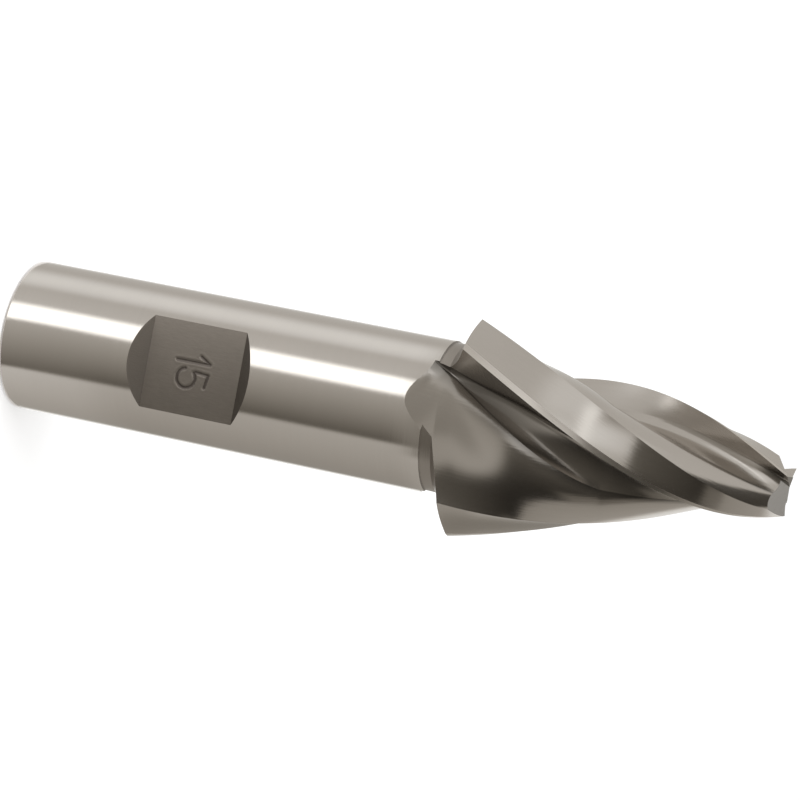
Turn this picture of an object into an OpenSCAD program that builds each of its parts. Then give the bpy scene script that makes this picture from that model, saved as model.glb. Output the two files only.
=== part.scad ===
// Tapered end mill: one piece of high speed steel with a round shank, a clamping flat and
// a conical head of three helical teeth, right-hand helix and right-hand cut.
// It stands on its shank end: the axis is Z, the shank end is z = 0 and the tip is at the top.
// The clamping flat faces +X. All sizes are in millimetres and degrees.

/* [Shank] */
// Diameter of the ground shank
shank_d = 19.05; // [16:0.05:25.4]
// Length of the ground shank, from its end to the neck
shank_length = 55.85; // [52:0.05:60]
// Chamfer round the shank's end
end_chamfer = 0.4; // [0.2:0.1:1]
// How much thinner than the shank the unground neck is
neck_step = 0.2; // [0.1:0.05:0.6]
// Length of the neck, from the ground shank to the head's back face
neck_length = 1.45; // [0.8:0.05:3]

/* [Clamping flat] */
// Distance from the shank's end to the middle of the flat
flat_middle = 25.4; // [22:0.1:28]
// Length of the flat floor
flat_length = 12.2; // [9:0.1:14]
// Depth of the floor below the shank's round surface
flat_depth = 1.93; // [1.2:0.01:2.4]

/* [Head] */
// Diameter over the cutting edges at the tip
tip_d = 7.1; // [6:0.05:9]
// Diameter over the cutting edges at the big end
head_d = 28.2; // [26:0.1:30]
// Taper of each side
taper = 15; // [14:0.5:17]
// Mean angle between the head's back face and a square shoulder
back_slope = 26; // [20:1:36]

/* [Teeth] */
// Helix angle of the cutting edges
helix = 25; // [20:0.5:30]
// Angle of the first cutting edge at the big end, from the middle of the flat
first_edge = -39; // [-60:1:60]
// Width of the narrow land behind each cutting edge, as a part of the radius
land_width = 0.075; // [0.05:0.005:0.12]
// Clearance angle of the narrow land
land_clearance = 8; // [5:1:12]
// Width of the relieved back behind the land, as a part of the radius
relief_width = 0.49; // [0.44:0.01:0.54]
// Clearance angle of the relieved back
relief_clearance = 25; // [20:1:28]
// Hook of the rake face, from a radial line
rake_hook = 6; // [0:1:10]
// Depth of the straight rake face, as a part of the radius
rake_depth = 0.36; // [0.3:0.01:0.42]

/* [End teeth] */
// Slope of each tooth's end behind its end cutting edge
end_relief = 32; // [20:1:38]

/* [Hidden] */

teeth = 3;
pitch = 360 / teeth;
shank_r = shank_d / 2;
neck_r = shank_r - neck_step;
tip_r = tip_d / 2;
head_r = head_d / 2;
cut_length = (head_r - tip_r) / tan(taper);
back_length = (head_r - neck_r) * tan(back_slope);
head_start = shank_length + neck_length + back_length;
overall = head_start + cut_length;

// The blank is turned a little larger than the teeth, so that grinding leaves no skin on it.
grinding_allowance = 0.6;
cutter_margin = 6;
closing_spread = 2;

// The seam of the turned surfaces lies clear of the flat and between two flutes.
seam_turn = -67.5;

// The head's back face is hollow: its curve is drawn towards this share of its width and length.
back_face_pull = [0.27, 0.57];
back_face_pieces = 8;

// Each flute runs out through the shank's surface at its own taper, and its gullet leaves sooner,
// on an arc that begins further up the more it lies behind the edge.
runout_length = 4.2;
flute_start = shank_length - runout_length;
gullet_rise = 2;
gullet_lead = 4;
runout_radius = 4;
runout_max = 3;
gullet_angle = 74;
gullet_blend = 46;

// The ridge between a tooth's back and the gullet wanders from one side of the flute to the other
// over the first part of the head.
ridge_back_angle = 112;
ridge_front_angle = 66;
ridge_last_angle = 118;
ridge_wander_length = 17.7;
ridge_back_radius = 0.58;
ridge_front_radius = 0.60;

// Directions and reaches of the section's curves, counted from the tooth's own edge. A pair holds
// the values at the head's start and further up, and a rise is counted from the head's start.
back_start_turn = [183, 147];
back_end_turn = 212;
back_start_pull = [0.40, 0.33];
back_end_pull = [0.34, 0.33];
back_change_rise = 0.4;
back_change_length = 16;
gullet_pull = 0.36;
ridge_turn = 24;
ridge_fade_rise = 12.3;
ridge_fade_length = 8;
hook_length = 8;

// Number of straight pieces along each part of the section, and lengths between sections
relief_pieces = 2;
back_pieces = 8;
gullet_pieces = 6;
runout_step = 0.5;
head_step = 1.1;

function unit(angle) = [cos(angle), sin(angle)];
function blend(a, b, t) = a + (b - a) * t;
function clamp01(t) = min(1, max(0, t));
function smooth(t) = let(u = clamp01(t)) u * u * (3 - 2 * u);
function bezier(a, b, c, d, t) =
    a * pow(1 - t, 3) + b * 3 * t * pow(1 - t, 2) + c * 3 * t * t * (1 - t) + d * pow(t, 3);

// Radius of the cone that the cutting edges lie on
function cone_r(z) = tip_r + (overall - z) * tan(taper);

// Turn of the cutting edges at height z, at a constant helix angle on the cone
function edge_turn(z) = first_edge + tan(helix) / tan(taper) * ln(head_r / cone_r(z)) * 180 / PI;

// Lift of the flute's floor where it runs out into the shank, by the angle behind the edge
function runout_lift(z, behind) =
    let(last = flute_start + gullet_rise + gullet_lead * smooth((behind - gullet_angle) / gullet_blend))
    z < last ? min(runout_max, pow(last - z, 2) / (2 * runout_radius)) : 0;

// One third of a section at unit radius: the tooth's edge is at [1, 0], and the points go
// over its land and back, through the gullet and up the rake face of the next tooth.
function tooth_section(z) =
    let(
        rise = z - head_start,
        along = rise / ridge_wander_length,
        hook = rake_hook * smooth(rise / hook_length),
        land_end = [1, 0] + land_width * unit(90 + land_clearance),
        heel = land_end + relief_width * unit(90 + relief_clearance),
        ridge_angle = min(ridge_last_angle, blend(ridge_back_angle, ridge_front_angle, min(1, along))),
        ridge = blend(ridge_back_radius, ridge_front_radius, clamp01(along)) * unit(ridge_angle),
        next_edge = unit(pitch),
        rake_foot = next_edge - rake_depth * unit(pitch - hook),
        change = smooth((rise - back_change_rise) / back_change_length),
        heel_turn = blend(back_start_turn[0], back_start_turn[1], change),
        heel_reach = norm(ridge - heel) * blend(back_start_pull[0], back_start_pull[1], change),
        ridge_reach = norm(ridge - heel) * blend(back_end_pull[0], back_end_pull[1], change),
        gullet_reach = norm(rake_foot - ridge) * gullet_pull,
        ridge_fade = smooth((rise - ridge_fade_rise) / ridge_fade_length),
        gullet_turn = back_end_turn + ridge_turn * (1 - ridge_fade),
        relief = [for (i = [0 : relief_pieces - 1]) blend(land_end, heel, i / relief_pieces)],
        back = [for (i = [0 : back_pieces - 1])
            bezier(heel, heel + heel_reach * unit(heel_turn),
                ridge - ridge_reach * unit(back_end_turn), ridge, i / back_pieces)],
        gullet = [for (i = [0 : gullet_pieces])
            bezier(ridge, ridge + gullet_reach * unit(gullet_turn),
                rake_foot - gullet_reach * unit(pitch - hook), rake_foot, i / gullet_pieces)]
    )
    concat([[1, 0]], relief, back, gullet, [(rake_foot + next_edge) / 2]);

// The whole section at height z, in space; spread widens the ring that closes it below
function section(z, spread = 1, height = undef) =
    [for (k = [0 : teeth - 1], p = tooth_section(z))
        let(
            behind = atan2(p[1], p[0]),
            lift = runout_lift(z, behind > 0 ? behind : pitch),
            r = spread * (norm(p) * cone_r(z) + lift),
            a = edge_turn(z) - pitch * k - behind
        )
        [r * cos(a), r * sin(a), is_undef(height) ? z : height]];

// Heights of the sections: close together in the run-out, wider apart along the head
stations = concat(
    [for (z = [flute_start : runout_step : head_start - runout_step / 2]) z],
    [for (z = [head_start : head_step : overall]) z],
    [overall + head_step]);

// What the grinding wheels leave standing: three helical teeth above, everything below.
// Both ends run to a point well outside the blank.
module fluted_form() {
    rings = concat(
        [for (height = [-cutter_margin, flute_start - runout_step])
            section(flute_start, closing_spread, height)],
        [for (z = stations) section(z)]);
    count = len(rings[0]);
    last = len(rings) - 1;
    below = len(rings) * count;
    sides = [for (j = [0 : last - 1], i = [0 : count - 1])
        let(n = (i + 1) % count)
        [j * count + i, (j + 1) * count + i, (j + 1) * count + n, j * count + n]];
    bottom = [for (i = [0 : count - 1]) [i, (i + 1) % count, below]];
    top = [for (i = [0 : count - 1]) [last * count + i, below + 1, last * count + (i + 1) % count]];
    polyhedron(
        points = concat([for (ring = rings, p = ring) p],
            [[0, 0, -overall], [0, 0, overall + head_step + cutter_margin]]),
        faces = concat(sides, bottom, top), convexity = 8);
}

// The turned blank: shank with its chamfered end, neck, back face and cone
module blank() {
    spare = grinding_allowance;
    inner = [neck_r, shank_length + neck_length];
    outer = [head_r, head_start];
    drawn = inner + [back_face_pull[0] * (head_r - neck_r), back_face_pull[1] * back_length];
    back_face = [for (i = [0 : back_face_pieces])
        let(t = i / back_face_pieces)
        inner * pow(1 - t, 2) + drawn * 2 * t * (1 - t) + outer * t * t];
    rotate([0, 0, seam_turn])
        rotate_extrude($fn = 180)
            polygon([
                [0, 0],
                [shank_r - end_chamfer, 0],
                [shank_r, end_chamfer],
                [shank_r, shank_length],
                [neck_r, shank_length],
                each back_face,
                [head_r + spare, head_start],
                [tip_r + spare, overall + spare],
                [0, overall + spare]
            ]);
}

// The pocket of the clamping flat, with ends that rise at 45 degrees
module flat_pocket() {
    floor_x = shank_r - flat_depth;
    rise = flat_depth + grinding_allowance;
    translate([0, shank_d / 2, flat_middle])
        rotate([90, 0, 0])
            linear_extrude(height = shank_d)
                polygon([
                    [floor_x, -flat_length / 2],
                    [floor_x + rise, -flat_length / 2 - rise],
                    [floor_x + rise, flat_length / 2 + rise],
                    [floor_x, flat_length / 2]
                ]);
}

// What is ground off behind one end cutting edge, which lies along X
module end_waste() {
    reach = tip_d + cutter_margin;
    lead = 10;
    intersection() {
        translate([0, 0, -reach])
            linear_extrude(height = 2 * reach)
                polygon([
                    [0, 0],
                    reach * unit(-pitch),
                    2 * reach * unit((lead - pitch) / 2),
                    reach * unit(lead)
                ]);
        rotate([end_relief, 0, 0])
            translate([-2 * reach, -2 * reach, 0])
                cube([4 * reach, 4 * reach, reach]);
    }
}

module end_mill() {
    color("silver")
        difference() {
            intersection() {
                blank();
                fluted_form();
            }
            flat_pocket();
            for (k = [0 : teeth - 1])
                translate([0, 0, overall])
                    rotate([0, 0, edge_turn(overall) - pitch * k])
                        end_waste();
        }
}

end_mill();
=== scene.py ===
"""A tapered end mill standing on its shank end, seen by the photograph's camera.

The tool is one ground mesh that stands for the CAD node. Its surfaces come from the same sizes
and functions as the CAD part, in millimetres, in finer steps: a turned blank, cut by the form of
the flutes, the clamping flat and the end relief. Then come its materials, the studio and the camera.
"""

import math

import bpy
import numpy as np
from mathutils import Matrix, kdtree


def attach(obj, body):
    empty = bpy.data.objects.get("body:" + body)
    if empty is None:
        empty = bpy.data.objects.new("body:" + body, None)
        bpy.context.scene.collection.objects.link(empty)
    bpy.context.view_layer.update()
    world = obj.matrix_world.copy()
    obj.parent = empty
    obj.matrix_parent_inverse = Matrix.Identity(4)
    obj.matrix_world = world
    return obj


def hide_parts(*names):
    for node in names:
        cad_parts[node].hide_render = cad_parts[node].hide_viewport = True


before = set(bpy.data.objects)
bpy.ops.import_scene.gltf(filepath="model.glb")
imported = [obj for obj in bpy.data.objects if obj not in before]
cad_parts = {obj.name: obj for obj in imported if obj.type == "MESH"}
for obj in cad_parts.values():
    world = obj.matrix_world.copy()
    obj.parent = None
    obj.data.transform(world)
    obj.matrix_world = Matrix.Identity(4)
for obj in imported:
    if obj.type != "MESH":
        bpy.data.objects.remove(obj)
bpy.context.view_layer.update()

MM = 0.001

# Sizes, as in the CAD part, in millimetres and degrees
SHANK_R = 9.525
SHANK_LENGTH = 55.85
END_CHAMFER = 0.4
NECK_STEP = 0.2
NECK_R = SHANK_R - NECK_STEP
NECK_LENGTH = 1.45
FLAT_MIDDLE = 25.4
FLAT_LENGTH = 12.2
FLAT_DEPTH = 1.93
TIP_R = 3.55
HEAD_R = 14.1
TAPER = 15
BACK_SLOPE = 26
TEETH = 3
PITCH = 360 / TEETH
HELIX = 25
FIRST_EDGE = -39
LAND_WIDTH, LAND_CLEARANCE = 0.075, 8
RELIEF_WIDTH, RELIEF_CLEARANCE = 0.49, 25
RAKE_HOOK, RAKE_DEPTH = 6, 0.36
END_RELIEF = 32
HEAD_START = SHANK_LENGTH + NECK_LENGTH + (HEAD_R - NECK_R) * math.tan(math.radians(BACK_SLOPE))
OVERALL = HEAD_START + (HEAD_R - TIP_R) / math.tan(math.radians(TAPER))
ALLOWANCE = 0.6
BACK_FACE_PULL = (0.27, 0.57)
RUNOUT_LENGTH = 4.2
FLUTE_START = SHANK_LENGTH - RUNOUT_LENGTH
GULLET_RISE, GULLET_LEAD, GULLET_ANGLE, GULLET_BLEND = 2, 4, 74, 46
RUNOUT_RADIUS, RUNOUT_MAX = 4, 3
RIDGE_ANGLES, RIDGE_LAST, RIDGE_WANDER_LENGTH = (112, 66), 118, 17.7
RIDGE_RADII = (0.58, 0.60)
HEEL_TURNS, HEEL_PULLS, RIDGE_PULLS = (183, 147), (0.40, 0.33), (0.34, 0.33)
BACK_CHANGE_RISE, BACK_CHANGE_LENGTH = 0.4, 16
BACK_END_TURN, GULLET_PULL = 212, 0.36
RIDGE_TURN, RIDGE_FADE_RISE, RIDGE_FADE_LENGTH = 24, 12.3, 8
HOOK_LENGTH = 8

# How far the cutters reach past the blank, and the wider rings that close the flutes' form below
CUTTER_MARGIN, TOP_MARGIN = 6, 7
CLOSING_SPREAD, CLOSING_STEP = 2, 1

# Steps of the visual mesh
STRIPS = ("land", "relief", "back", "gullet", "rake")
PIECES = (2, 10, 24, 16, 6)
RUNOUT_STEP, HEAD_STEP = 0.16, 0.3
ROUND = 288
BACK_FACE_PIECES, BACK_FACE_ROWS = 16, 101

# Slots of the tool's materials, in this order on every mesh that the tool is cut from
SLOTS = STRIPS + ("shank", "neck", "floor", "groove", "slope", "end")


def tool_materials():
    return [MATERIALS[name] for name in SLOTS]


def turn(degrees):
    a = np.radians(degrees)
    return np.array([np.cos(a), np.sin(a)])


def smooth(t):
    t = min(1.0, max(0.0, t))
    return t * t * (3 - 2 * t)


def bezier(a, b, c, d, pieces):
    t = np.linspace(0, 1, pieces + 1)[:, None]
    return a * (1 - t) ** 3 + b * 3 * t * (1 - t) ** 2 + c * 3 * t * t * (1 - t) + d * t ** 3


def line(a, b, pieces):
    t = np.linspace(0, 1, pieces + 1)[:, None]
    return a + (b - a) * t


# Form of the flutes
def cone_r(z):
    return TIP_R + (OVERALL - z) * math.tan(math.radians(TAPER))


def edge_turn(z):
    return FIRST_EDGE + math.degrees(
        math.tan(math.radians(HELIX)) / math.tan(math.radians(TAPER)) * math.log(HEAD_R / cone_r(z)))


def tooth_section(z):
    """One third of a section at unit radius: a list with the points of each strip."""
    rise = z - HEAD_START
    along = rise / RIDGE_WANDER_LENGTH
    inside = min(1, max(0, along))
    hook = PITCH - RAKE_HOOK * smooth(rise / HOOK_LENGTH)
    edge, next_edge = turn(0), turn(PITCH)
    land_end = edge + LAND_WIDTH * turn(90 + LAND_CLEARANCE)
    heel = land_end + RELIEF_WIDTH * turn(90 + RELIEF_CLEARANCE)
    ridge_angle = min(RIDGE_LAST, RIDGE_ANGLES[0] + (RIDGE_ANGLES[1] - RIDGE_ANGLES[0]) * min(1, along))
    ridge = (RIDGE_RADII[0] + (RIDGE_RADII[1] - RIDGE_RADII[0]) * inside) * turn(ridge_angle)
    rake_foot = next_edge - RAKE_DEPTH * turn(hook)
    change = smooth((rise - BACK_CHANGE_RISE) / BACK_CHANGE_LENGTH)
    across = np.linalg.norm(ridge - heel)
    heel_turn, heel_pull, ridge_pull = (
        a + (b - a) * change for a, b in (HEEL_TURNS, HEEL_PULLS, RIDGE_PULLS))
    gullet_reach = np.linalg.norm(rake_foot - ridge) * GULLET_PULL
    ridge_fade = smooth((rise - RIDGE_FADE_RISE) / RIDGE_FADE_LENGTH)
    gullet_turn = BACK_END_TURN + RIDGE_TURN * (1 - ridge_fade)
    return [
        line(edge, land_end, PIECES[0]),
        line(land_end, heel, PIECES[1]),
        bezier(heel, heel + across * heel_pull * turn(heel_turn),
               ridge - across * ridge_pull * turn(BACK_END_TURN), ridge, PIECES[2]),
        bezier(ridge, ridge + gullet_reach * turn(gullet_turn),
               rake_foot - gullet_reach * turn(hook), rake_foot, PIECES[3]),
        line(rake_foot, next_edge, PIECES[4]),
    ]


def place(points, z, tooth, first):
    """Points of a tooth's strip in space. first says that the first one is the tooth's own edge."""
    behind = np.degrees(np.arctan2(points[:, 1], points[:, 0]))
    lift = np.zeros(len(points))
    for i, b in enumerate(behind):
        if first and i == 0:
            b = PITCH
        last = FLUTE_START + GULLET_RISE + GULLET_LEAD * smooth((b - GULLET_ANGLE) / GULLET_BLEND)
        if z < last:
            lift[i] = min(RUNOUT_MAX, (last - z) ** 2 / (2 * RUNOUT_RADIUS))
    r = np.linalg.norm(points, axis=1) * cone_r(z) + lift
    a = np.radians(edge_turn(z) - PITCH * tooth - behind)
    return np.stack([r * np.cos(a), r * np.sin(a), np.full(len(r), z)], axis=1)


def stations():
    low = np.arange(FLUTE_START, HEAD_START - RUNOUT_STEP / 2, RUNOUT_STEP)
    high = np.arange(HEAD_START, OVERALL + HEAD_STEP, HEAD_STEP)
    return np.concatenate([low, high])


def strip_grids(levels):
    """The points of each strip of each tooth as an array [level, point, 3]."""
    grids = {}
    for tooth in range(TEETH):
        for s, name in enumerate(STRIPS):
            grids[name, tooth] = np.array(
                [place(tooth_section(z)[s], z, tooth, s == 0) for z in levels])
    return grids


def new_mesh(name, points, faces, slots, materials=()):
    mesh = bpy.data.meshes.new(name)
    mesh.from_pydata([tuple(p) for p in np.asarray(points) * MM], [], faces)
    for material in materials:
        mesh.materials.append(material)
    mesh.polygons.foreach_set("material_index", slots)
    mesh.update()
    obj = bpy.data.objects.new(name, mesh)
    bpy.context.scene.collection.objects.link(obj)
    return obj


def form_of_flutes(grids):
    """A closed solid that the blank is cut with: all that the grinding wheels leave standing."""
    levels = len(next(iter(grids.values())))
    columns, slots_of_column = [], []
    for tooth in range(TEETH):
        for s, name in enumerate(STRIPS):
            grid = grids[name, tooth]
            for i in range(grid.shape[1] - 1):
                columns.append(grid[:, i])
                slots_of_column.append(s)
    rings = np.stack(columns, axis=1)
    wide = rings[0] * [CLOSING_SPREAD, CLOSING_SPREAD, 1]
    lowest = wide * [1, 1, 0] - [0, 0, CUTTER_MARGIN]
    rings = np.concatenate([[lowest, wide - [0, 0, CLOSING_STEP]], rings])
    count = rings.shape[1]
    last = levels + 1
    faces, slots = [], []
    for j in range(last):
        for i in range(count):
            n = (i + 1) % count
            faces.append(((j + 1) * count + i, (j + 1) * count + n, j * count + n, j * count + i))
            slots.append(slots_of_column[i])
    below = (last + 1) * count
    for i in range(count):
        n = (i + 1) % count
        faces.append((n, below, i))
        faces.append((below + 1, last * count + n, last * count + i))
        slots += [0, 0]
    ends = [[0, 0, -OVERALL], [0, 0, OVERALL + TOP_MARGIN]]
    points = np.concatenate([rings.reshape(-1, 3), ends])
    return new_mesh("form", points, faces, slots, tool_materials())


# Turned blank, with a short slope down from the shank to the neck
NECK_EDGE = 0.12


def back_face(t):
    """Point and outward normal of the hollow back face, at t from 0 at the neck to 1 at the rim."""
    inner = np.array([NECK_R, SHANK_LENGTH + NECK_LENGTH])
    outer = np.array([HEAD_R, HEAD_START])
    drawn = inner + BACK_FACE_PULL * (outer - inner)
    along = 2 * (1 - t) * (drawn - inner) + 2 * t * (outer - drawn)
    return (inner * (1 - t) ** 2 + drawn * 2 * t * (1 - t) + outer * t * t,
            np.array([along[1], -along[0]]) / np.linalg.norm(along))


# Radius, height and normal along the back face
BACK_FACE_TABLE = np.array([np.concatenate(back_face(t)) for t in np.linspace(0, 1, BACK_FACE_ROWS)])


def blank_profile():
    """Radius, height and slot of the profile's points; a slot is that of the piece above the point."""
    return [
        (0, 0, "shank"),
        (SHANK_R - END_CHAMFER, 0, "shank"),
        (SHANK_R, END_CHAMFER, "shank"),
        (SHANK_R, SHANK_LENGTH, "neck"),
        (NECK_R, SHANK_LENGTH + NECK_EDGE, "neck"),
        *[(*back_face(t)[0], "neck") for t in np.linspace(0, 1, BACK_FACE_PIECES + 1)],
        (HEAD_R + ALLOWANCE, HEAD_START, "neck"),
        (TIP_R + ALLOWANCE, OVERALL + ALLOWANCE, "neck"),
        (0, OVERALL + ALLOWANCE, "neck"),
    ]


def turned_blank():
    profile = blank_profile()
    angles = np.arange(ROUND) * 2 * math.pi / ROUND
    points, faces, slots = [(0, 0, 0)], [], []
    for r, z, _ in profile[1:-1]:
        points += [(r * math.cos(a), r * math.sin(a), z) for a in angles]
    points.append((0, 0, profile[-1][1]))
    rings = len(profile) - 2
    for i in range(ROUND):
        n = (i + 1) % ROUND
        faces.append((0, 1 + n, 1 + i))
        slots.append(SLOTS.index(profile[0][2]))
        for j in range(rings - 1):
            a, b = 1 + j * ROUND, 1 + (j + 1) * ROUND
            faces.append((a + i, a + n, b + n, b + i))
            slots.append(SLOTS.index(profile[j + 1][2]))
        top = 1 + (rings - 1) * ROUND
        faces.append((top + i, top + n, len(points) - 1))
        slots.append(SLOTS.index("neck"))
    return new_mesh("blank", points, faces, slots, tool_materials())


# Clamping flat and its number: the foot of the digits, their height, and the pressed groove with
# its burr. Below a share of the groove's depth the floor has the groove's own look.
NUMBER_SHANK_SIDE = 23.1
NUMBER_HEIGHT = 4.35
GROOVE_HALF_WIDTH, GROOVE_DEPTH, GROOVE_LOOK_SHARE = 0.36, 0.10, 0.4
BURR_WIDTH, BURR_HEIGHT = 0.16, 0.014

# The floor has a fine grid round the number, between these distances across it. The flat's cutter
# reaches FLAT_MARGIN past the shank.
FINE_ACROSS, FINE_MARGIN, FINE_STEP = (-2.6, 3.4), 0.8, 0.08
FLAT_MARGIN = 1


def arc(cx, cy, r, start, end, pieces=14):
    return [(cx + r * math.cos(math.radians(a)), cy + r * math.sin(math.radians(a)))
            for a in np.linspace(start, end, pieces + 1)]


def number_strokes():
    """Plain digits one and five as lines of points (across, up) in millimetres."""
    one = [(-1.75, 3.1), (-0.95, NUMBER_HEIGHT), (-0.95, 0)]
    five = [(1.95, NUMBER_HEIGHT - 0.3), (0.4, NUMBER_HEIGHT), (0.25, 2.7)]
    return [one, five + arc(1.15, 1.5, 1.22, 130, -165)]


def floor_height(y, z):
    """Height of the flat's floor over its plane: the number's grooves with a burr along them."""
    best = np.full(np.broadcast(y, z).shape, np.inf)
    for stroke in number_strokes():
        for (ax, ay), (bx, by) in zip(stroke, stroke[1:]):
            px, py = y - ax, z - NUMBER_SHANK_SIDE - ay
            dx, dy = bx - ax, by - ay
            t = np.clip((px * dx + py * dy) / (dx * dx + dy * dy), 0, 1)
            best = np.minimum(best, np.hypot(px - t * dx, py - t * dy))
    groove = np.clip(1 - best / GROOVE_HALF_WIDTH, 0, 1)
    groove = groove * groove * (3 - 2 * groove)
    burr = np.exp(-((best - GROOVE_HALF_WIDTH - BURR_WIDTH / 2) / BURR_WIDTH) ** 2)
    return BURR_HEIGHT * burr - GROOVE_DEPTH * groove


def floor_normals(points, step=0.01):
    y, z = points[:, 0], points[:, 1]
    dy = (floor_height(y + step, z) - floor_height(y - step, z)) / (2 * step)
    dz = (floor_height(y, z + step) - floor_height(y, z - step)) / (2 * step)
    n = np.stack([np.ones(len(y)), -dy, -dz], axis=1)
    return n / np.linalg.norm(n, axis=1, keepdims=True)


def flat_cutter():
    floor_x = SHANK_R - FLAT_DEPTH
    rise = FLAT_DEPTH + FLAT_MARGIN
    low, high = FLAT_MIDDLE - FLAT_LENGTH / 2, FLAT_MIDDLE + FLAT_LENGTH / 2
    side = SHANK_R + FLAT_MARGIN
    fine_low = NUMBER_SHANK_SIDE - FINE_MARGIN
    fine_z = np.arange(fine_low, NUMBER_SHANK_SIDE + NUMBER_HEIGHT + FINE_MARGIN, FINE_STEP)
    fine_y = np.arange(*FINE_ACROSS, FINE_STEP)
    zs = np.concatenate([[low - rise, low], fine_z, [high, high + rise]])
    ys = np.concatenate([[-side], fine_y, [side]])
    heights = floor_height(ys[None, :], zs[:, None])
    points, faces, slots = [], [], []
    for j, z in enumerate(zs):
        for i, y in enumerate(ys):
            if j in (0, len(zs) - 1):
                x = floor_x + rise
            elif 1 < j < len(zs) - 2 and abs(y) < side:
                x = floor_x + heights[j, i]
            else:
                x = floor_x
            points.append((x, y, z))
    w, h = len(ys), len(zs)
    for j in range(h - 1):
        for i in range(w - 1):
            faces.append((j * w + i, (j + 1) * w + i, (j + 1) * w + i + 1, j * w + i + 1))
            if j in (0, h - 2):
                slots.append(SLOTS.index("slope"))
            elif heights[j, i] < -GROOVE_LOOK_SHARE * GROOVE_DEPTH:
                slots.append(SLOTS.index("groove"))
            else:
                slots.append(SLOTS.index("floor"))
    faces.append(tuple(j * w for j in reversed(range(h))))
    faces.append(tuple(j * w + w - 1 for j in range(h)))
    faces.append(tuple(list(range(w)) + [(h - 1) * w + i for i in reversed(range(w))]))
    slots += [SLOTS.index("slope")] * 3
    return new_mesh("flat_cutter", points, faces, slots, tool_materials())


# End relief: the cutter's outline spreads out in these directions, from a little ahead of the end
# cutting edge to the edge behind it.
END_DIRECTIONS = (10, -25, -60, -90, -PITCH)


def end_cutter(tooth):
    """What is ground off behind one end cutting edge, which lies along the tooth's own X."""
    reach = 2 * TIP_R + CUTTER_MARGIN
    fall = math.tan(math.radians(END_RELIEF))
    outline = [(0, 0)] + [tuple(reach * turn(a)) for a in END_DIRECTIONS]
    a = math.radians(edge_turn(OVERALL) - PITCH * tooth)
    points = []
    for height in (0, 1):
        for x, y in outline:
            z = OVERALL + y * fall + height * reach
            points.append((x * math.cos(a) - y * math.sin(a), x * math.sin(a) + y * math.cos(a), z))
    n = len(outline)
    faces = [tuple(range(n)), tuple(reversed(range(n, 2 * n)))]
    faces += [(i, i + n, (i + 1) % n + n, (i + 1) % n) for i in range(n)]
    slots = [SLOTS.index("end")] * len(faces)
    return new_mesh(f"end_cutter_{tooth}", points, faces, slots, tool_materials())


# Cutting and shading the tool. The teeth's flow coordinates lie this far apart, so that no two have
# the same grinding marks. A normal is the mean of its nearest neighbours' on the exact surface, of
# which the nearer ones count more; LEAST_DISTANCE and TINY keep a division from zero.
TOOTH_FLOW_STEP = 150
NEIGHBOURS = 3
LEAST_DISTANCE, TINY = 1e-6, 1e-12

# A face of the blank whose normal lies this far along the axis is the shank's flat end. Slivers
# that lie less than SLACK below the back face or the chamfer's edge count as above it.
LEVEL_NORMAL = 0.9
SLACK = 1e-3


def cut(obj, tool, operation):
    """Replaces obj's mesh by its boolean with tool, which is deleted. Both face outward."""
    modifier = obj.modifiers.new("cut", "BOOLEAN")
    modifier.operation = operation
    modifier.solver = "MANIFOLD"
    modifier.object = tool
    graph = bpy.context.evaluated_depsgraph_get()
    mesh = bpy.data.meshes.new_from_object(obj.evaluated_get(graph))
    obj.modifiers.clear()
    old = obj.data
    obj.data = mesh
    bpy.data.meshes.remove(old)
    bpy.data.objects.remove(tool)


def grid_normals(grid):
    du = np.gradient(grid, axis=1)
    dz = np.gradient(grid, axis=0)
    n = np.cross(dz, du)
    return n / np.maximum(np.linalg.norm(n, axis=2, keepdims=True), TINY)


def strip_tree(grids, name):
    """Points of a strip in a tree, with their normals and flow: height, distance and share across."""
    points, normals, flow = [], [], []
    for tooth in range(TEETH):
        grid = grids[name, tooth]
        across = np.linalg.norm(np.diff(grid, axis=1), axis=2)
        across = np.concatenate([np.zeros((len(grid), 1)), np.cumsum(across, axis=1)], axis=1)
        points.append(grid.reshape(-1, 3))
        normals.append(grid_normals(grid).reshape(-1, 3))
        share = across / across[:, -1:]
        height = grid[:, :, 2] + TOOTH_FLOW_STEP * tooth
        flow.append(np.stack([height, across, share], axis=2).reshape(-1, 3))
    points, normals, flow = map(np.concatenate, (points, normals, flow))
    tree = kdtree.KDTree(len(points))
    for i, p in enumerate(points):
        tree.insert(p, i)
    tree.balance()
    return tree, normals, flow


def near(tree, values, point):
    found = tree.find_n(point, NEIGHBOURS)
    weights = np.array([1 / (d + LEAST_DISTANCE) ** 2 for _, _, d in found])
    return (values[[i for _, i, _ in found]] * weights[:, None]).sum(axis=0) / weights.sum()


def round_normal(r, z):
    """Radial and axial part of the blank's normal: chamfer, straight shank and neck, or back face."""
    if z < END_CHAMFER - SLACK:
        normal = (1, -1)
    elif z < SHANK_LENGTH + NECK_LENGTH - SLACK:
        normal = (1, 0)
    else:
        normal = [np.interp(r, BACK_FACE_TABLE[:, 0], part) for part in BACK_FACE_TABLE[:, 2:].T]
    return np.array(normal) / np.linalg.norm(normal)


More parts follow.
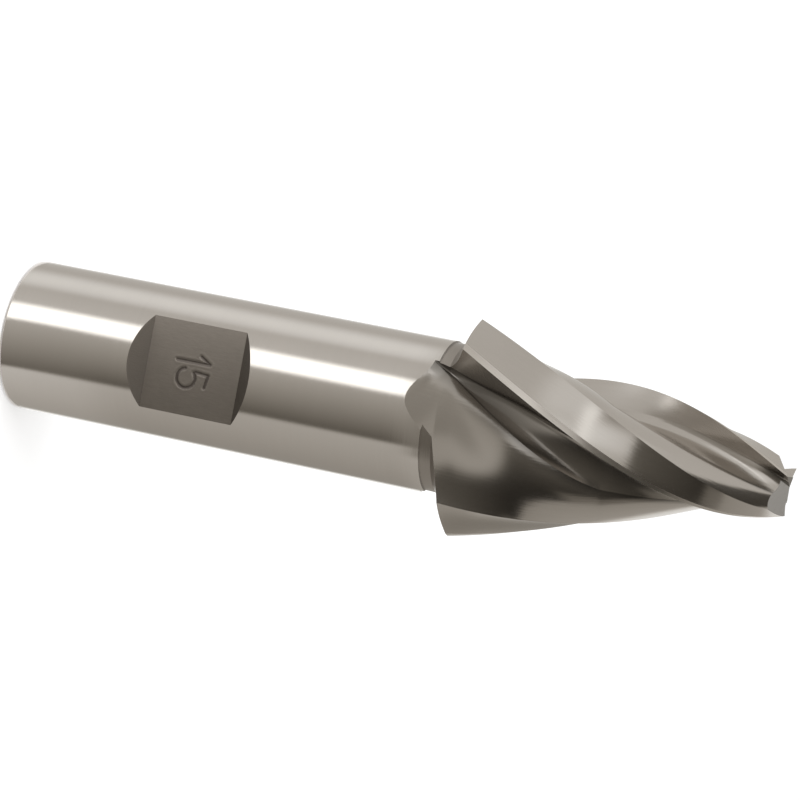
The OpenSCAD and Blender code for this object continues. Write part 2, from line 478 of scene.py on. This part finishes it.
def shade_tool(obj, grids):
    """Gives every corner the exact normal of the surface it lies on, and strips their flow."""
    mesh = obj.data
    trees = {s: strip_tree(grids, name) for s, name in enumerate(STRIPS)}
    normals = np.zeros((len(mesh.loops), 3))
    flow = np.zeros((len(mesh.loops), 3))
    seen, on_floor, floor_points = {}, [], []
    for face in mesh.polygons:
        s = face.material_index
        for corner in face.loop_indices:
            v = mesh.loops[corner].vertex_index
            co = np.array(mesh.vertices[v].co) / MM
            if s in trees:
                if (s, v) not in seen:
                    tree, n, f = trees[s]
                    seen[s, v] = near(tree, n, co), near(tree, f, co)
                normals[corner], flow[corner] = seen[s, v]
            elif SLOTS[s] in ("shank", "neck"):
                if abs(face.normal[2]) > LEVEL_NORMAL:
                    normals[corner] = face.normal
                else:
                    x, y, z = np.array(face.center) / MM
                    radial, axial = round_normal(math.hypot(x, y), z)
                    r = math.hypot(co[0], co[1])
                    normals[corner] = (radial * co[0] / r, radial * co[1] / r, axial)
            elif SLOTS[s] in ("floor", "groove"):
                on_floor.append(corner)
                floor_points.append(co[1:])
            else:
                normals[corner] = face.normal
    normals[on_floor] = floor_normals(np.array(floor_points))
    layer = mesh.uv_layers.new(name="flow")
    layer.data.foreach_set("uv", flow[:, :2].ravel())
    share = mesh.attributes.new("share", "FLOAT", "CORNER")
    share.data.foreach_set("value", flow[:, 2])
    mesh.polygons.foreach_set("use_smooth", [True] * len(mesh.polygons))
    mesh.normals_split_custom_set([tuple(n) for n in normals])


def build_tool():
    grids = strip_grids(stations())
    tool = turned_blank()
    cut(tool, form_of_flutes(grids), "INTERSECT")
    cut(tool, flat_cutter(), "DIFFERENCE")
    for tooth in range(TEETH):
        cut(tool, end_cutter(tooth), "DIFFERENCE")
    tool.name = tool.data.name = "ground_tool"
    shade_tool(tool, grids)
    return tool


# Materials: clouds of tint in cells per millimetre, the depth of the grinding marks in millimetres,
# the least roughness, and the share of its colour that a surface keeps under painted shade
CLOUDS_PER_MM = 0.16
MARK_DEPTH = 0.02
LEAST_ROUGHNESS = 0.03
PAINTED_SHADE_KEEPS = 0.4


def colour_mix(nodes, first, second=None):
    """A colour mixing node; its second colour is linked later if it isn't given."""
    mix = nodes.new("ShaderNodeMix")
    mix.data_type = "RGBA"
    mix.inputs["A"].default_value = [*first, 1]
    if second:
        mix.inputs["B"].default_value = [*second, 1]
    return mix


def with_painted_shade(nodes, links, coord, unshaded_colour, colour, painted_shade):
    """Output of the colour, darker where shade is painted on it along a height or across a strip."""
    quantity, unshaded_at, dark_at = painted_shade
    if quantity == "height":
        position = nodes.new("ShaderNodeSeparateXYZ")
        links.new(coord.outputs["Object"], position.inputs["Vector"])
        value = position.outputs["Z"]
    else:
        attribute = nodes.new("ShaderNodeAttribute")
        attribute.attribute_name = quantity
        value = attribute.outputs["Fac"]
    shade_ramp = nodes.new("ShaderNodeMapRange")
    shade_ramp.interpolation_type = "SMOOTHSTEP"
    shade_ramp.inputs["From Min"].default_value = min(unshaded_at, dark_at)
    shade_ramp.inputs["From Max"].default_value = max(unshaded_at, dark_at)
    shade_ramp.inputs["To Min"].default_value = float(dark_at > unshaded_at)
    shade_ramp.inputs["To Max"].default_value = float(dark_at < unshaded_at)
    links.new(value, shade_ramp.inputs["Value"])
    darker = colour_mix(nodes, [c * PAINTED_SHADE_KEEPS for c in colour])
    links.new(shade_ramp.outputs["Result"], darker.inputs["Factor"])
    links.new(unshaded_colour, darker.inputs["B"])
    return darker.outputs["Result"]


def steel(name, colour, roughness, grain, vary=0.06, bump=0.02, use_flow=False, rough_vary=0.05,
          painted_shade=None):
    """Ground steel. grain stretches the grinding marks: cells per millimetre along each axis.

    The axes are the tool's, or with use_flow a strip's height and distance across. The last
    argument says where shade is painted on the colour: by its "height" in metres or its "share"
    of the strip's width, the value where it is unshaded and the value where the painted shade is
    darkest.
    """
    mat = bpy.data.materials.new(name)
    mat.use_nodes = True
    nodes, links = mat.node_tree.nodes, mat.node_tree.links
    bsdf = nodes["Principled BSDF"]
    bsdf.inputs["Metallic"].default_value = 1.0
    coord = nodes.new("ShaderNodeTexCoord")
    mapping = nodes.new("ShaderNodeMapping")
    per_unit = 1 if use_flow else 1 / MM
    mapping.inputs["Scale"].default_value = [g * per_unit for g in grain]
    links.new(coord.outputs["UV" if use_flow else "Object"], mapping.inputs["Vector"])

    marks = nodes.new("ShaderNodeTexNoise")
    marks.inputs["Scale"].default_value = 1.0
    marks.inputs["Detail"].default_value = 4.0
    marks.inputs["Roughness"].default_value = 0.6
    links.new(mapping.outputs["Vector"], marks.inputs["Vector"])

    clouds = nodes.new("ShaderNodeTexNoise")
    clouds.inputs["Scale"].default_value = CLOUDS_PER_MM / MM
    clouds.inputs["Detail"].default_value = 3.0
    links.new(coord.outputs["Object"], clouds.inputs["Vector"])

    # The marks and the clouds count half each.
    tint = colour_mix(
        nodes, [c * (1 - vary) for c in colour], [min(1, c * (1 + vary)) for c in colour])
    both = nodes.new("ShaderNodeMath")
    both.operation = "MULTIPLY_ADD"
    both.inputs[1].default_value = 0.5
    links.new(marks.outputs["Fac"], both.inputs[0])
    half = nodes.new("ShaderNodeMath")
    half.operation = "MULTIPLY"
    half.inputs[1].default_value = 0.5
    links.new(clouds.outputs["Fac"], half.inputs[0])
    links.new(half.outputs["Value"], both.inputs[2])
    links.new(both.outputs["Value"], tint.inputs["Factor"])
    tinted = tint.outputs["Result"]
    # Painted shade, where the last argument asks for it
    if painted_shade:
        tinted = with_painted_shade(nodes, links, coord, tinted, colour, painted_shade)
    links.new(tinted, bsdf.inputs["Base Color"])

    rough = nodes.new("ShaderNodeMapRange")
    rough.inputs["To Min"].default_value = max(LEAST_ROUGHNESS, roughness - rough_vary)
    rough.inputs["To Max"].default_value = roughness + rough_vary
    links.new(both.outputs["Value"], rough.inputs["Value"])
    links.new(rough.outputs["Result"], bsdf.inputs["Roughness"])

    relief = nodes.new("ShaderNodeBump")
    relief.inputs["Strength"].default_value = bump
    relief.inputs["Distance"].default_value = MARK_DEPTH * MM
    links.new(marks.outputs["Fac"], relief.inputs["Height"])
    links.new(relief.outputs["Normal"], bsdf.inputs["Normal"])
    return mat


# The polished steel's colour, and where shade is painted on the backs and the gullets
WARM = (0.60, 0.565, 0.53)
# Painted shade on the backs: darker across the last part of the strip, towards the ridge
BACK_PAINTED_SHADE = ("share", 0.80, 1.05)
# Painted shade on the gullets: darker from 80 mm up the tool down to 60 mm
GULLET_PAINTED_SHADE = ("height", 0.080, 0.060)
MATERIALS = {
    "shank": steel("steel_shank", WARM, 0.12, (0.05, 0.05, 9), bump=0.4, rough_vary=0.03),
    "neck": steel("steel_neck", (0.36, 0.33, 0.30), 0.32, (0.1, 0.1, 7), bump=1.0),
    "floor": steel("steel_flat_floor", (0.24, 0.216, 0.192), 0.60, (1, 3, 1), vary=0.22, bump=1.0),
    "groove": steel("steel_number", (0.12, 0.105, 0.095), 0.5, (4, 4, 4), vary=0.1, bump=0.6),
    "slope": steel("steel_flat_slope", (0.13, 0.115, 0.10), 0.60, (2, 6, 2), vary=0.12, bump=1.0),
    "end": steel("steel_end", (0.30, 0.285, 0.265), 0.22, (4, 4, 4), bump=0.6),
    "land": steel("steel_land", (0.66, 0.62, 0.58), 0.28, (0.3, 3, 1), bump=0.3, use_flow=True),
    "relief": steel("steel_relief", WARM, 0.16, (0.4, 3, 1), bump=0.25, use_flow=True),
    "back": steel("steel_back", WARM, 0.18, (0.12, 4, 1), bump=0.5, use_flow=True, painted_shade=BACK_PAINTED_SHADE),
    "gullet": steel("steel_gullet", WARM, 0.18, (0.12, 3, 1), bump=0.4, use_flow=True, painted_shade=GULLET_PAINTED_SHADE),
    "rake": steel("steel_rake", WARM, 0.24, (0.12, 2, 1), bump=0.12, use_flow=True),
}


# Studio
# The round of panels starts as a funnel close round the shank's end, which rises from FUNNEL_ZERO_R
# at one in FUNNEL_RUN_TO_RISE. It goes on as a narrow tube round the shank and, above a shelf, as a
# wide tube round the head. All in millimetres, and PANEL_STEP also in degrees.
FUNNEL_MOUTH, FUNNEL_RINGS = 10.2, 18
FUNNEL_ZERO_R, FUNNEL_RUN_TO_RISE = 10, 4
TUBE_R, WIDE_R = 24, 60
TUBE_BOTTOM, SHELF_HEIGHT, PANEL_TOP = 6, 58, 240
PANEL_STEP = 2
FILL_LEVEL = 0.62

# The light is warmer where it is dim: shares of green and blue at three levels.
WARMTH_LEVELS, GREEN_SHARES, BLUE_SHARES = (0, 0.3, 0.9), (0.90, 0.94, 1), (0.74, 0.84, 0.98)

# Cards, strips and flags on the round, each laid over the ones before it: its sides as angles round
# the tool, its ends as heights, the light level at both sides, how soft its sides and ends are, and
# how much its ends rise with each degree from the first side.
# SHANK_ENDS is for those that light the whole shank.
SHANK_ENDS = (-10, 51)
CARDS = {
    "upper fill": ((-98, -68), SHANK_ENDS, (1.0, 1.0), (26, 5), 0),
    "tan strip": ((-66, -41), SHANK_ENDS, (0.66, 0.74), (8, 5), 0),
    "key strip": ((-39, -18), SHANK_ENDS, (2.2, 2.2), (7, 5), 0),
    "brown card": ((-17, 41), SHANK_ENDS, (0.57, 0.13), (5, 5), 0),
    "brown end card": ((-17, 41), (-10, 4), (0.60, 0.21), (5, 14), 0),
    "lower card": ((43, 130), SHANK_ENDS, (0.58, 0.36), (3, 5), 0),
    "lower end card": ((43, 130), (-10, 6), (0.76, 0.44), (3, 14), 0),
    "upper rim strip": ((-170, -142), (-10, 58), (1.15, 1.15), (18, 5), 0),
    "lower rim strip": ((132, 168), (-10, 58), (1.15, 1.15), (14, 5), 0),
    "neck card": ((-44, 54), (51, 60), (0.38, 0.20), (10, 4), 0),
    "low grey card": ((-42, 34), (60, 88), (0.32, 0.52), (12, 5), 0),
    "side card": ((63, 116), (54, 160), (0.36, 0.48), (4, 8), 0),
    "low side card": ((100, 164), (59, 68), (0.28, 0.28), (14, 6), 0),
    "back card": ((124, 168), (76, 112), (1.0, 1.0), (14, 12), 0),
    "relief card": ((-76, -48), (72, 92), (0.80, 0.80), (12, 8), 0),
    "high strip": ((-78, -56), (95, 107), (0.95, 0.85), (14, 8), 0),
    "gullet strip": ((-54, -46), (82, 108), (1.15, 1.3), (5, 8), 0),
    "front strip": ((-46, -18), (91, 106), (0.95, 0.75), (6, 6), 0),
    "black flag": ((-19, 63), (86, 152), (0.13, 0.01), (4, 7), -0.36),
    "high black flag": ((-36, 50), (118, 156), (0.06, 0.06), (10, 8), 0),
    "upper side card": ((46, 65), (98, 122), (0.18, 0.22), (8, 6), 0),
}


def edge_mask(value, span, soft):
    """1 inside a span and 0 outside, with soft edges of that width."""
    return smooth((value - span[0]) / soft + 0.5) * smooth((span[1] - value) / soft + 0.5)


def tube_angle(angle, radius):
    """Angle on the narrow tube that the shank mirrors at the same spot as this angle at a radius."""
    spot = np.linspace(-90, 90, 181)

    def mirrored(r):
        seen = 2 * spot - np.degrees(np.arcsin(SHANK_R / r * np.sin(np.radians(spot))))
        return np.concatenate([[-180], seen, [180]])

    return np.interp(angle, mirrored(radius), mirrored(TUBE_R))


def panel_colour(angle, radius, height):
    """Colour of the panels' light at a point, warmer where it is dim."""
    if radius < TUBE_R:
        angle = tube_angle(angle, radius)
    level = FILL_LEVEL
    for sides, ends, levels, soft, lean in CARDS.values():
        across = edge_mask(angle, sides, soft[0])
        along = edge_mask(height - lean * (angle - sides[0]), ends, soft[1])
        level += (np.interp(angle, sides, levels) - level) * (across * along)
    green = np.interp(level, WARMTH_LEVELS, GREEN_SHARES)
    blue = np.interp(level, WARMTH_LEVELS, BLUE_SHARES)
    return level, level * green, level * blue, 1


def light_panels():
    """A round of reflecting panels that only the steel's reflections see."""
    profile = [(r, (r - FUNNEL_ZERO_R) / FUNNEL_RUN_TO_RISE)
               for r in np.linspace(FUNNEL_MOUTH, TUBE_R, FUNNEL_RINGS)]
    profile += [(TUBE_R, z) for z in range(TUBE_BOTTOM, SHELF_HEIGHT, PANEL_STEP)]
    profile += [(r, SHELF_HEIGHT) for r in range(TUBE_R, WIDE_R, 2 * PANEL_STEP)]
    profile += [(WIDE_R, z) for z in range(SHELF_HEIGHT, PANEL_TOP + 1, PANEL_STEP)]
    degrees = np.arange(-180, 180, PANEL_STEP)
    ring = [(math.cos(math.radians(a)), math.sin(math.radians(a))) for a in degrees]
    points = [(r * x, r * y, z) for r, z in profile for x, y in ring]
    n = len(degrees)
    faces = [(j * n + i, j * n + (i + 1) % n, (j + 1) * n + (i + 1) % n, (j + 1) * n + i)
             for j in range(len(profile) - 1) for i in range(n)]
    panels = new_mesh("light_panels", points, faces, [0] * len(faces))
    light = panels.data.color_attributes.new("light", "FLOAT_COLOR", "POINT")
    colours = [panel_colour(a, r, z) for r, z in profile for a in degrees]
    light.data.foreach_set("color", np.array(colours).ravel())
    mat = bpy.data.materials.new("panel_light")
    mat.use_nodes = True
    nodes, links = mat.node_tree.nodes, mat.node_tree.links
    nodes.clear()
    attribute = nodes.new("ShaderNodeAttribute")
    attribute.attribute_name = "light"
    emit = nodes.new("ShaderNodeEmission")
    out = nodes.new("ShaderNodeOutputMaterial")
    links.new(attribute.outputs["Color"], emit.inputs["Color"])
    links.new(emit.outputs["Emission"], out.inputs["Surface"])
    panels.data.materials.append(mat)
    panels.visible_camera = panels.visible_diffuse = panels.visible_shadow = False


def seen_share(nodes, links):
    """Output that is 1 for camera, glossy and transmission rays and 0 for the rest."""
    path = nodes.new("ShaderNodeLightPath")
    value = path.outputs["Is Camera Ray"]
    for kind in ("Is Glossy Ray", "Is Transmission Ray"):
        either = nodes.new("ShaderNodeMath")
        either.operation = "MAXIMUM"
        links.new(value, either.inputs[0])
        links.new(path.outputs[kind], either.inputs[1])
        value = either.outputs["Value"]
    return value


# The floor reaches this far on each side, in millimetres, and is lifted to white where it is seen.
FLOOR_REACH = 6000
FLOOR_LIFT = 0.35


def studio_floor():
    s = FLOOR_REACH
    corners = [(-s, -s, 0), (s, -s, 0), (s, s, 0), (-s, s, 0)]
    floor = new_mesh("studio_floor", corners, [(0, 1, 2, 3)], [0])
    mat = bpy.data.materials.new("floor_white")
    mat.use_nodes = True
    nodes, links = mat.node_tree.nodes, mat.node_tree.links
    bsdf = nodes["Principled BSDF"]
    bsdf.inputs["Base Color"].default_value = (0.8, 0.8, 0.8, 1)
    bsdf.inputs["Roughness"].default_value = 0.9
    lift = nodes.new("ShaderNodeMath")
    lift.operation = "MULTIPLY"
    lift.inputs[1].default_value = FLOOR_LIFT
    links.new(seen_share(nodes, links), lift.inputs[0])
    bsdf.inputs["Emission Color"].default_value = (1, 1, 1, 1)
    links.new(lift.outputs["Value"], bsdf.inputs["Emission Strength"])
    floor.data.materials.append(mat)


# Light of the white room, which looks plain white itself, and the softbox over the tool
ROOM_LIGHT = 0.75
SOFTBOX_SIZE, SOFTBOX_WATTS = 0.5, 3.0
SOFTBOX_PLACE = (0.15, -0.25, 0.75)


def lights():
    world = bpy.data.worlds.new("studio")
    bpy.context.scene.world = world
    world.use_nodes = True
    nodes, links = world.node_tree.nodes, world.node_tree.links
    nodes["Background"].inputs["Color"].default_value = (1, 1, 1, 1)
    strength = nodes.new("ShaderNodeMath")
    strength.operation = "MULTIPLY_ADD"
    strength.inputs[1].default_value = 1 - ROOM_LIGHT
    strength.inputs[2].default_value = ROOM_LIGHT
    links.new(seen_share(nodes, links), strength.inputs[0])
    links.new(strength.outputs["Value"], nodes["Background"].inputs["Strength"])
    lamp = bpy.data.lights.new("top_softbox", "AREA")
    lamp.shape = "SQUARE"
    lamp.size = SOFTBOX_SIZE
    lamp.energy = SOFTBOX_WATTS
    top = bpy.data.objects.new("top_softbox", lamp)
    top.location = SOFTBOX_PLACE
    top.rotation_euler = (-top.location).to_track_quat("-Z", "Y").to_euler()
    bpy.context.scene.collection.objects.link(top)


# The photograph's camera, fitted to the tool's outline: widths in pixels and millimetres, and pose
PHOTO_WIDTH, FOCAL_PIXELS, SENSOR_WIDTH = 800, 2772.0, 36
CAMERA_POSE = (
    (-0.28625, 0.01166, 0.95809, 0.326521),
    (-0.18420, -0.98194, -0.04308, -0.015707),
    (0.94028, -0.18881, 0.28323, 0.146452),
    (0, 0, 0, 1),
)


def camera():
    cam = bpy.data.cameras.new("camera")
    cam.sensor_width = SENSOR_WIDTH
    cam.lens = FOCAL_PIXELS * SENSOR_WIDTH / PHOTO_WIDTH
    cam.clip_start = 0.01
    obj = bpy.data.objects.new("camera", cam)
    obj.matrix_world = Matrix(CAMERA_POSE)
    bpy.context.scene.collection.objects.link(obj)
    bpy.context.scene.camera = obj


camera()
tool = build_tool()
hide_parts("end_mill")
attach(tool, "root")
light_panels()
studio_floor()
lights()
bpy.context.scene.view_settings.view_transform = "Standard"
